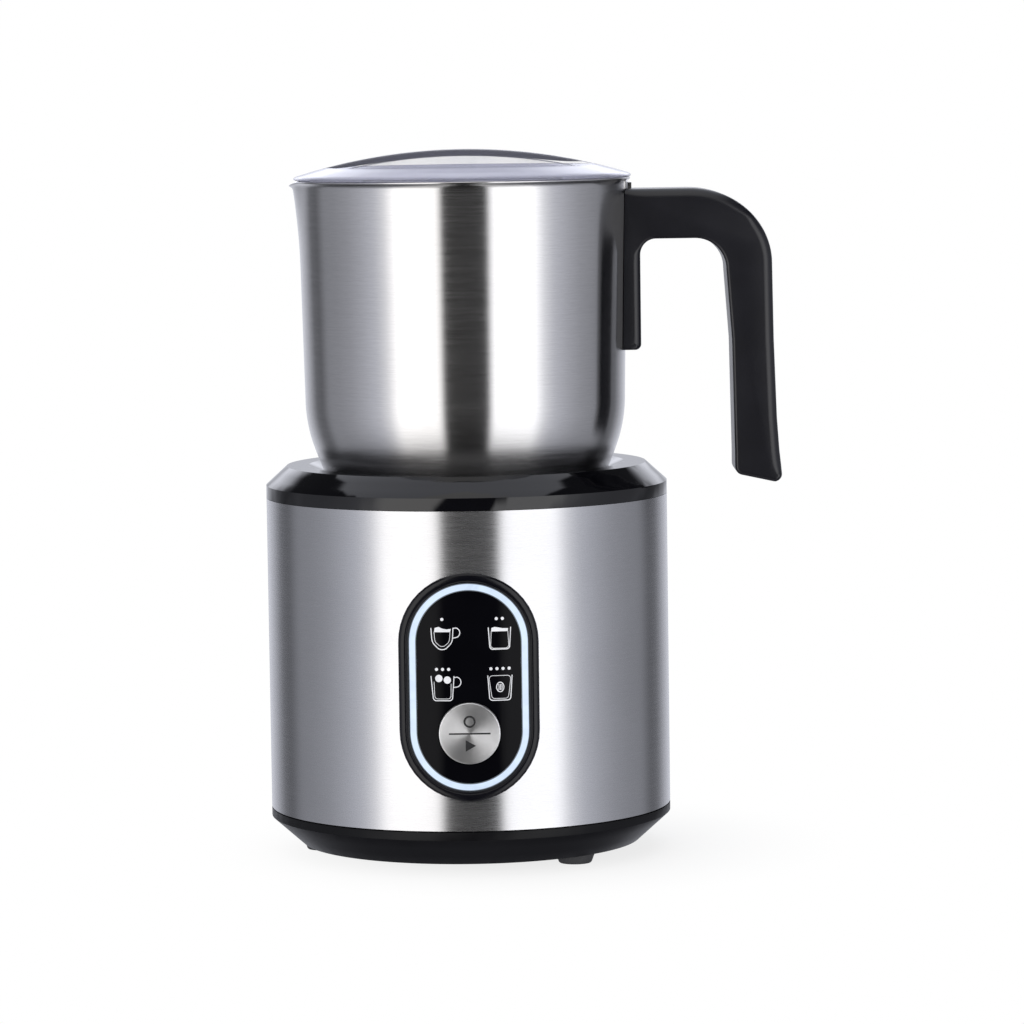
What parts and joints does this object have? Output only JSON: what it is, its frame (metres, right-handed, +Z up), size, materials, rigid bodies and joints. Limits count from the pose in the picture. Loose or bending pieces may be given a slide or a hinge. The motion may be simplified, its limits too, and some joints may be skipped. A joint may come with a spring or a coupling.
{
  "type": "milk frother",
  "caption": "Upright milk frother: a round steel base with a lit control panel, a lift-off steel jug with a one-armed handle, a magnetic whisk and a clear domed lid.",
  "frame": {"origin": "on the surface the frother stands on, at the middle of its overall footprint with the handle; the base's own axis is the line x = -0.0185 m, y = 0", "axes": "+Z up, +X towards the handle, -Y towards the control panel, -X towards the spout"},
  "size_m": [0.167, 0.1327, 0.2274],
  "materials": {
    "foot_rubber": "matt grey-black silicone",
    "matt_black": "fine-textured matt black moulding",
    "zinc_steel": "zinc-plated screws and pins",
    "brushed_sleeve": "brushed round the axis",
    "gloss_black": "polished black moulding",
    "hob_plastic": "heat-proof dark plate",
    "former_plastic": "natural heat-proof nylon",
    "copper": "enamelled copper",
    "ferrite": "sintered ferrite",
    "frame_plastic": "grey moulded frame",
    "motor_steel": "zinc-coated pressed steel",
    "bronze": "sintered bronze",
    "carbon": "carbon",
    "circuit_board": "green solder resist",
    "aluminium": "extruded",
    "part_black": "moulded component cases",
    "capacitor_case": "resin and sleeve cases",
    "core_brown": "taped core",
    "block_blue": "terminal block",
    "lamp_white": "milky lamp plastic, lit",
    "light_white": "milky light guide, lit blue-white",
    "icon_white": "printed white",
    "lead_red": "silicone lead",
    "nylon_white": "moulded nylon",
    "magnet": "nickel-plated magnet",
    "button_steel": "spun finish",
    "mark_black": "printed black",
    "spring_wire": "bright stainless wire",
    "jug_steel": "finely brushed round the axis, satin",
    "whisk_plastic": "food-safe black plastic",
    "lid_clear": "clear moulded plastic, faintly lavender",
    "seal_grey": "grey silicone"
  },
  "bodies": {
    "base": {"feet": "foot_rubber", "bottom_cover": "matt_black", "cover_screws": "zinc_steel", "base_sleeve": "brushed_sleeve", "seat_ring": "gloss_black", "seat_screws": "zinc_steel", "hob_plate": "hob_plastic", "coil_former": "former_plastic", "induction_coil": "copper", "ferrite_bars": "ferrite", "inner_frame": "frame_plastic", "motor_can": "motor_steel", "stator_magnets": "ferrite", "motor_end_cap": "matt_black", "motor_bushes": "bronze", "motor_screws": "zinc_steel", "carbon_brushes": "carbon", "power_board": "circuit_board", "board_screws": "zinc_steel", "heat_sink": "aluminium", "power_transistors": "part_black", "filter_choke": "copper", "capacitors": "capacitor_case", "transformer": "core_brown", "terminal_block": "block_blue", "control_board": "circuit_board", "control_screws": "zinc_steel", "tact_switch": "part_black", "indicator_leds": "lamp_white", "panel_bezel": "gloss_black", "light_ring": "light_white", "panel_face": "gloss_black", "panel_icons": "icon_white", "cord_gland": "matt_black", "fan_housing": "matt_black", "inner_leads": "lead_red"},
    "drive": {"motor_shaft": "zinc_steel", "armature": "motor_steel", "armature_windings": "copper", "commutator": "copper", "magnet_carrier": "nylon_white", "drive_magnets": "magnet"},
    "fan": {"fan_rotor": "matt_black"},
    "button": {"button_cap": "button_steel", "button_body": "matt_black", "button_marks": "mark_black"},
    "sensor": {"sensor_cap": "zinc_steel", "sensor_spring": "spring_wire"},
    "jug": {"jug_vessel": "jug_steel", "jug_base_disc": "motor_steel", "spindle_pin": "zinc_steel", "handle_bracket": "jug_steel", "handle_shell": "matt_black", "handle_screws": "zinc_steel"},
    "whisk": {"whisk_hub": "whisk_plastic", "whisk_coil": "spring_wire", "whisk_magnets": "magnet"},
    "lid": {"lid_dome": "lid_clear", "lid_seal": "seal_grey"}
  },
  "joints": [
    {"name": "jug_lift", "type": "slide", "parent": "base", "child": "jug", "axis": [0, 0, 1], "range_m": [0, 0.08]},
    {"name": "lid_lift", "type": "slide", "parent": "jug", "child": "lid", "axis": [0, 0, 1], "range_m": [0, 0.06]},
    {"name": "drive_spin", "type": "hinge", "parent": "base", "child": "drive", "pos_m": [-0.0185, 0, 0.075], "axis": [0, 0, 1], "continuous": true},
    {"name": "whisk_spin", "type": "hinge", "parent": "jug", "child": "whisk", "pos_m": [-0.0185, 0, 0.12], "axis": [0, 0, 1], "continuous": true},
    {"name": "fan_spin", "type": "hinge", "parent": "base", "child": "fan", "pos_m": [-0.0185, 0, 0.012], "axis": [0, 0, 1], "continuous": true},
    {"name": "button_press", "type": "slide", "parent": "base", "child": "button", "axis": [0, 1, 0], "range_m": [0, 0.0008], "stiffness_N_per_m": 1500, "springref_m": -0.0008},
    {"name": "sensor_press", "type": "slide", "parent": "base", "child": "sensor", "axis": [0, 0, -1], "range_m": [0, 0.0015], "stiffness_N_per_m": 400, "springref_m": -0.001, "deforming": ["sensor_spring"]}
  ],
  "couplings": [
    {"joint": "whisk_spin", "follows": "drive_spin", "ratio": 1}
  ]
}
